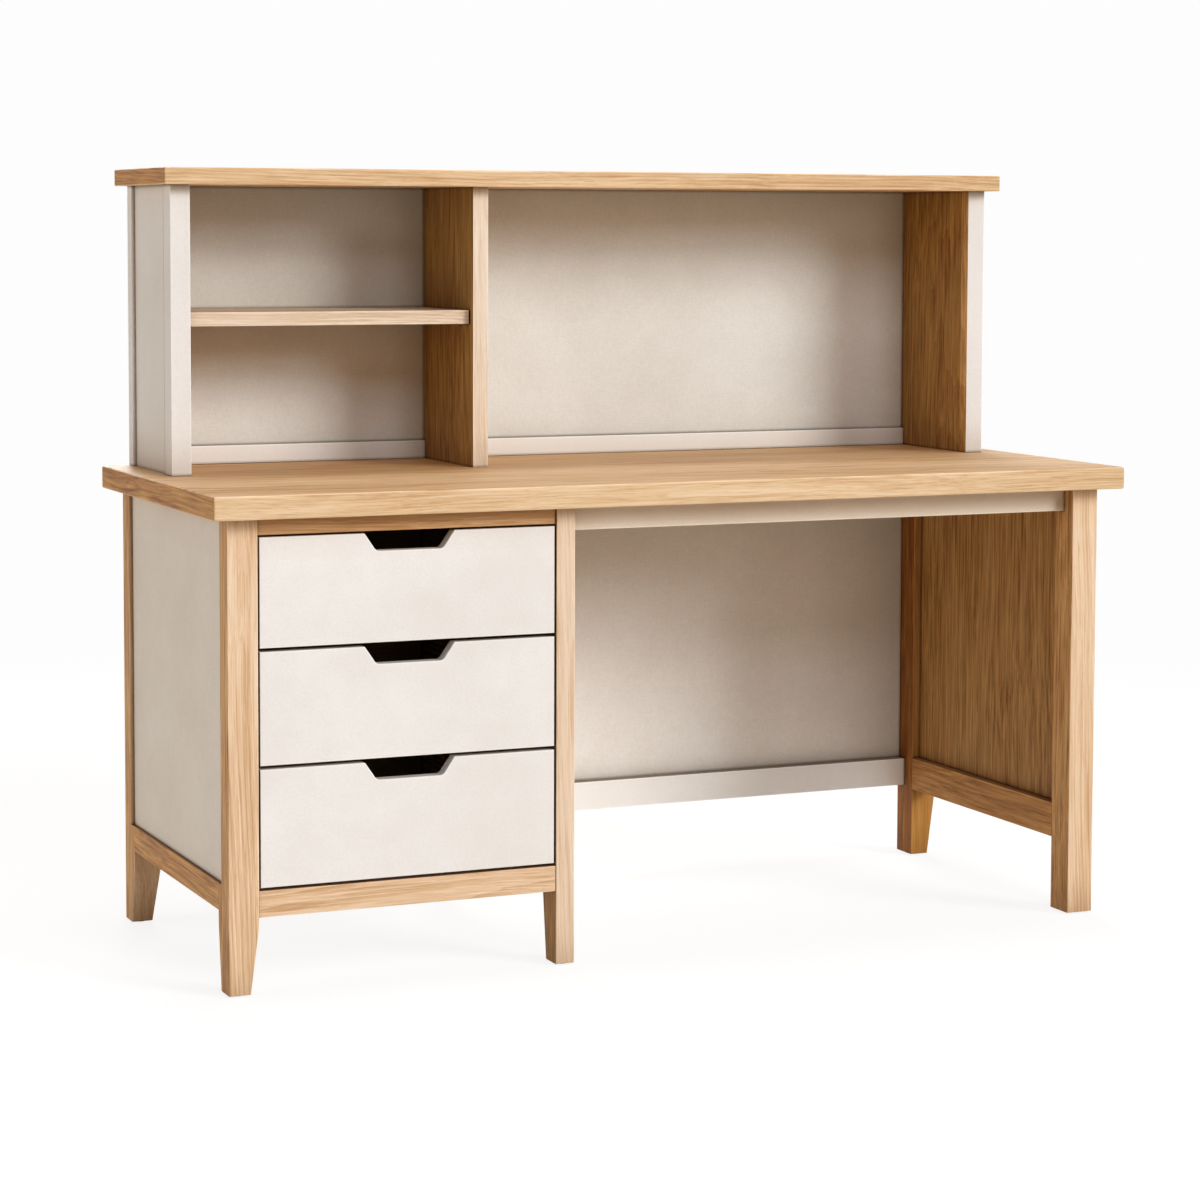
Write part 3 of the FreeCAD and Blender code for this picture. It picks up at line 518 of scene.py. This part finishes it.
# pieces whose edges the source shapes itself
SHAPED = LEGS + DRAWER_FRONTS + ["desktop", "foot_glides", "shelf_pins", "hutch_fixing_plates",
                                 "kneehole_apron"]
ARRIS_WIDTH = 1.0 * MM
ARRIS_SEGMENTS = 2
ARRIS_ANGLE = radians(40)
WELD_REACH = 0.02 * MM


def give(material, *names):
    """One material for each of the named nodes."""
    for name in names:
        slots = NODES[name].data.materials
        slots.clear()
        slots.append(material)


def face_with(material, name, chosen):
    """Second material of a node, on the faces that are chosen."""
    mesh = NODES[name].data
    mesh.materials.append(material)
    for face in mesh.polygons:
        if chosen(face):
            face.material_index = 1


def distances(name):
    """How far the corners of a node's mesh lie from the desk's middle plane."""
    return [abs(vertex.co.x) for vertex in NODES[name].data.vertices]


def lies_at(face, distance):
    return abs(abs(face.center.x) - distance) < SAME_PLANE


def finish_woods():
    """Oak and carcass boards, each cut from its own spot in the wood, with the grain along it."""
    seed = 1
    for along, names in OAK_BOARDS.items():
        for name in names:
            # painted shade on the faces that look left and on those that look up
            tones = (SIDE_SHADES.get(name, SIDE_SHADE_TONE), TOP_SHADES.get(name, LEDGE_SHADE))
            colours = BOARD_COLOURS.get(name, OAK)
            corner = CORNER_SHADES.get(name, CORNER_SHADE)
            give(wood("oak_" + name, along, seed, colours, *tones, corner=corner), name)
            seed += 1
    for along, names in CARCASS_BOARDS.items():
        for name in names:
            give(wood("carcass_" + name, along, seed, OAK, contrast=CARCASS_CONTRAST), name)
            seed += 1


def finish_paints():
    """Cream boards and panels. A painted shadow line lies in the quirk between the hutch's stiles and
    panels.
    """
    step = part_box("hutch_left_front_stile")[1][1]
    on_panel = (step, step + PANEL_QUIRK)
    on_stile = (step - STILE_QUIRK, step)
    weave = LINEN_WEAVE
    give(satin("cream_paint", CREAM), *DRAWER_FRONTS)
    # painted shade on the outer panels' faces that look left
    give(satin("cream_panel", CREAM, weave, LINEN_SIDE_SHADE), "left_outer_panel", "right_outer_panel")
    # painted shade and light: the back panel takes a darker and the modesty panel a lighter copy of the
    # cream
    give(satin("recessed_panel", BACK_SHADED_CREAM, weave, corner=BACK_CORNER_SHADE), "hutch_back_panel")
    give(satin("modesty_panel", MODESTY_LIT_CREAM, weave, corner=DEEP_CORNER_SHADE), "modesty_panel")
    give(satin("hutch_panel_paint", CREAM, quirk=on_panel), *HUTCH_PANELS)
    give(satin("hutch_stile_paint", CREAM, quirk=on_stile), *HUTCH_STILES)
    give(satin("rear_stile_paint", CREAM, corner=UNSHADED_CORNER), "hutch_rear_stiles")
    give(satin("apron_paint", APRON_CREAM), "kneehole_apron")
    # painted light: a lighter copy of the cream, with painted shade on the top faces
    give(satin("skirt_paint", SKIRT_LIT_CREAM, top=SKIRT_TOP_SHADE), "hutch_skirts", "modesty_rail")


def finish_drawers_and_fittings():
    """Birch plywood boxes, zinc-plated slides, steel pins and plates, and felt glides."""
    # painted shade on the drawer boxes' faces that look left
    tones = (PLY_SIDE_SHADE, PLAIN_TONE, PLY_CONTRAST)
    side = wood("drawer_side", "Y", DRAWER_SIDE_SEED, BIRCH, *tones)
    back = wood("drawer_back", "X", DRAWER_BACK_SEED, BIRCH, *tones)
    rolled = metal("zinc_plated_steel", ZINC, "Y")
    pressed = metal("steel_plate", STEEL, "Z")
    for number in (1, 2, 3):
        drawer = f"drawer_{number}_"
        give(side, drawer + "left_side", drawer + "right_side")
        give(back, drawer + "back", drawer + "bottom")
        give(rolled, drawer + "middle_members", drawer + "slide_members")
    give(rolled, "case_slide_members")
    give(pressed, "shelf_pins", "hutch_fixing_plates")
    give(felt("felt"), "foot_glides")


def face_hutch_sides(names, label, seed, tone):
    """The inner faces of the hutch's sides are oak, and the rest of them stays painted."""
    oak = wood("oak_hutch_" + label, "Z", seed, OAK, tone)
    for name in names:
        inner = min(distances(name))
        face_with(oak, name, lambda face: abs(face.normal.x) > FLAT_SIDE and lies_at(face, inner))


def band_top_ends():
    """The ends of both tops carry an edge band, whose grain runs from front to back."""
    band = wood("oak_edge_band", "Y", BAND_SEED, OAK, BAND_SIDE_SHADE)
    for name in ("desktop", "hutch_top"):
        outer = max(distances(name))
        face_with(band, name, lambda face: lies_at(face, outer))


def shade_corner_leg():
    """The two faces of the rear right leg in the kneehole's corner take a dark oak colour, painted shade
    of that corner.
    """
    kneehole_shade_oak = wood("oak_kneehole_shade", "Z", KNEEHOLE_SHADE_SEED, KNEEHOLE_SHADE_OAK)
    face_with(kneehole_shade_oak, "rear_right_leg", lambda face: min(face.normal.x, face.normal.y) < -LEG_FACE)


def soften_arrises():
    """Square-edged boards get the hairline arris that sanding leaves.

    Pieces that the source shapes itself keep their own edges, and so do the slides' members.
    """
    for name, node in NODES.items():
        if name in SHAPED or "member" in name:
            continue
        for face in node.data.polygons:
            face.use_smooth = False
        weld = node.modifiers.new("weld", "WELD")
        weld.merge_threshold = WELD_REACH
        bevel = node.modifiers.new("arris", "BEVEL")
        bevel.width = ARRIS_WIDTH
        bevel.segments = ARRIS_SEGMENTS
        bevel.limit_method = "ANGLE"
        bevel.angle_limit = ARRIS_ANGLE


# ---------------------------------------------------------------- screws

# radius and height above the plate, in millimetres, from the flat of the head to the shank's tip
SCREW_RINGS = [(2.7, 2.4), (3.3, 2.25), (3.8, 1.9), (4.1, 1.35), (4.2, 0.7), (4.2, 0.0), (2.1, 0.0),
               (2.1, -10.0), (1.1, -13.0)]
SCREW_SIDES = 40
SCREW_SMOOTH = radians(38)
# half width and half length of the recess's arms, its depth, and the floor's share of the mouth
RECESS_ARM = (0.5, 2.1)
RECESS_DEPTH = 1.5
RECESS_FLOOR = 0.72
BRIM_PLAY = 0.01
# where the holes are in each plate, from its lower edge, and how far each screw is turned
PLATE_HOLE_RISE = (9 * MM, 81 * MM)
PLATE_WIDTH = 18 * MM
SCREW_TURNS = (12, 47, 71, 28)


def loop(shape, points, height):
    """Closed line of edges through the points, in millimetres, at one height along Y."""
    made = [shape.verts.new((x * MM, height * MM, z * MM)) for x, z in points]
    for first, last in zip(made, made[1:] + made[:1]):
        shape.edges.new((first, last))
    return made


def skirt(shape, upper, lower):
    """Faces between two loops of as many corners."""
    for i, point in enumerate(upper):
        after = (i + 1) % len(upper)
        shape.faces.new((point, upper[after], lower[after], lower[i]))


def circle(radius):
    steps = [2 * pi * i / SCREW_SIDES for i in range(SCREW_SIDES)]
    return [(radius * cos(step), radius * sin(step)) for step in steps]


def cross():
    """Outline of the cross recess: one arm, turned by a quarter four times."""
    slim, wide = RECESS_ARM
    arm = [(wide, -slim), (wide, slim), (slim, slim)]
    outline = []
    for _ in range(4):
        outline += arm
        arm = [(-z, x) for x, z in arm]
    return outline


def screw_mesh():
    """Pan-head screw with a cross recess, along +Y, with the underside of its head at y = 0."""
    shape = bmesh.new()
    rings = [loop(shape, circle(radius), height) for radius, height in SCREW_RINGS]
    for upper, lower in zip(rings, rings[1:]):
        skirt(shape, upper, lower)
    shape.faces.new(rings[-1])
    top = SCREW_RINGS[0][1]
    mouth = loop(shape, cross(), top)
    inner_cross = [(RECESS_FLOOR * x, RECESS_FLOOR * z) for x, z in cross()]
    floor = loop(shape, inner_cross, top - RECESS_DEPTH)
    skirt(shape, mouth, floor)
    shape.faces.new(floor)
    brim = [edge for edge in shape.edges if all(end.co.y > (top - BRIM_PLAY) * MM for end in edge.verts)]
    bmesh.ops.triangle_fill(shape, edges=brim, use_beauty=True)
    bmesh.ops.recalc_face_normals(shape, faces=shape.faces)
    mesh = bpy.data.meshes.new("plate_screw")
    shape.to_mesh(mesh)
    shape.free()
    for face in mesh.polygons:
        face.use_smooth = True
    mesh.set_sharp_from_angle(angle=SCREW_SMOOTH)
    mesh.materials.append(bpy.data.materials["zinc_plated_steel"])
    return mesh


def drive_screws():
    """Two screws hold each fixing plate, to the desktop's back edge and to the hutch."""
    mesh = screw_mesh()
    low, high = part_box("hutch_fixing_plates")
    places = [(x, low[2] + rise) for x in (low[0] + PLATE_WIDTH / 2, high[0] - PLATE_WIDTH / 2)
              for rise in PLATE_HOLE_RISE]
    for number, ((x, z), turn) in enumerate(zip(places, SCREW_TURNS), 1):
        screw = bpy.data.objects.new(f"plate_screw_{number}", mesh)
        screw.location = (x, high[1], z)
        screw.rotation_euler = (0, radians(turn), 0)
        bpy.context.collection.objects.link(screw)
        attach(screw, "desk")


# ---------------------------------------------------------------- room, light and camera

FLOOR_SIZE = 60
# the floor's own light and its shading change over this distance from the desk, from near to far
FLOOR_SPAN = (1.2, 3.4)
FLOOR_GREY = (0.20, 0.0)
FLOOR_GLOW = (0.85, 0.985)
FLOOR_BOUNCE = (0.80, 0.75, 0.66, 1)
WORLD_LIGHT = (0.08, 0.05, 0.03, 1)
WORLD_WHITE = (0.985, 0.985, 0.985, 1)
# name, place, width, height, power in watts, colour
LAMPS = [
    ("front_top", (0.0, -9.83, 7.583), 5.0, 4.6, 432, (0.88, 0.92, 1.0)),
    ("left_back", (-9.766, 5.638, 4.804), 5.0, 4.6, 108, (1.0, 0.96, 0.92)),
    ("left", (-11.818, 0.0, 2.784), 5.0, 4.6, 276, (1.0, 0.97, 0.92)),
    ("overhead", (0.0, 0.3, 6.0), 2.6, 1.6, 90, (1.0, 0.99, 0.97)),
    ("back", (2.4, 11.2, 4.4), 5.0, 4.6, 780, (1.0, 0.98, 0.95)),
]
LAMP_AIM = Vector((0.0, 0.0, 0.7))
KEY_PLACE = Vector((8.456, -10.078, 5.488))
KEY_STRENGTH = 2.45
KEY_COLOUR = (0.94, 0.98, 1.0)
KEY_SPREAD = radians(24)
LENS = 93.115
SENSOR_WIDTH = 36
LENS_SHIFT = -0.12
CLIP_END = 200
CAMERA_PLACE = (-2.1006, -4.7222, 1.1581)
CAMERA_TURN = (85.778, -0.183, -23.727)


def make_floor():
    """Pale floor that looks white and keeps the shadow near the desk."""
    bpy.ops.mesh.primitive_plane_add(size=FLOOR_SIZE, location=(0, 0, 0))
    floor = bpy.context.object
    floor.name = "floor"
    shader = new_shader("floor")
    path = shader.add("LightPath").outputs
    seen = shader.math("MAXIMUM", path["Is Camera Ray"],
                       shader.math("MAXIMUM", path["Is Glossy Ray"], path["Is Transmission Ray"]))
    away = shader.add("VectorMath", {0: shader.object_place()}, operation="LENGTH").outputs["Value"]
    share = shader.within(away, *FLOOR_SPAN, *FLOOR_GREY)
    level = shader.within(away, *FLOOR_SPAN, *FLOOR_GLOW)
    matte = shader.add("BsdfDiffuse", {"Color": FLOOR_BOUNCE}).outputs[0]
    grey = shader.add("CombineColor", {0: share, 1: share, 2: share}).outputs[0]
    lit = shader.add("BsdfDiffuse", {"Color": grey}).outputs[0]
    glow = shader.add("Emission", {"Color": WHITE, "Strength": level}).outputs[0]
    looks = shader.add("AddShader", {0: lit, 1: glow}).outputs[0]
    surface = shader.add("MixShader", {0: seen, 1: matte, 2: looks}).outputs[0]
    shader.add("OutputMaterial", {"Surface": surface})
    floor.data.materials.append(shader.owner)


def make_world():
    """Dim warm light from all round, behind a white that only the camera and reflections see."""
    world = bpy.data.worlds.new("studio")
    bpy.context.scene.world = world
    shader = Shader(world)
    path = shader.add("LightPath").outputs
    seen = shader.math("MAXIMUM", path["Is Camera Ray"], path["Is Glossy Ray"])
    light = shader.add("Background", {"Color": WORLD_LIGHT}).outputs[0]
    white = shader.add("Background", {"Color": WORLD_WHITE}).outputs[0]
    surface = shader.add("MixShader", {0: seen, 1: light, 2: white}).outputs[0]
    shader.add("OutputWorld", {"Surface": surface})


def hang(data, place):
    """Lamp at its place, aimed at the desk."""
    lamp = bpy.data.objects.new(data.name, data)
    lamp.location = place
    lamp.rotation_euler = (LAMP_AIM - Vector(place)).to_track_quat("-Z", "Y").to_euler()
    bpy.context.collection.objects.link(lamp)
    return lamp


def make_lamps():
    """Large soft lamps all round and a low key, which leaves no glare on the flat tops."""
    for name, place, width, height, power, colour in LAMPS:
        data = bpy.data.lights.new(name, "AREA")
        data.shape = "RECTANGLE"
        data.size = width
        data.size_y = height
        data.energy = power
        data.color = colour
        hang(data, place)
    key = bpy.data.lights.new("key", "SUN")
    key.energy = KEY_STRENGTH
    key.color = KEY_COLOUR
    key.angle = KEY_SPREAD
    hang(key, KEY_PLACE).visible_glossy = False


def make_camera():
    """The photo's own view, as fitted to the desk's edges."""
    data = bpy.data.cameras.new("camera")
    data.lens = LENS
    data.sensor_width = SENSOR_WIDTH
    data.shift_y = LENS_SHIFT
    data.clip_end = CLIP_END
    camera = bpy.data.objects.new("camera", data)
    camera.location = CAMERA_PLACE
    camera.rotation_euler = [radians(turn) for turn in CAMERA_TURN]
    bpy.context.collection.objects.link(camera)
    bpy.context.scene.camera = camera


finish_woods()
finish_paints()
finish_drawers_and_fittings()
face_hutch_sides(HUTCH_STILES, "stiles", STILE_SEED, STRIP_SIDE_SHADE)
face_hutch_sides(HUTCH_PANELS, "panels", PANEL_SEED, BAY_SIDE_SHADE)
band_top_ends()
shade_corner_leg()
soften_arrises()
drive_screws()
make_floor()
make_world()
make_lamps()
make_camera()
bpy.context.scene.view_settings.view_transform = "Standard"
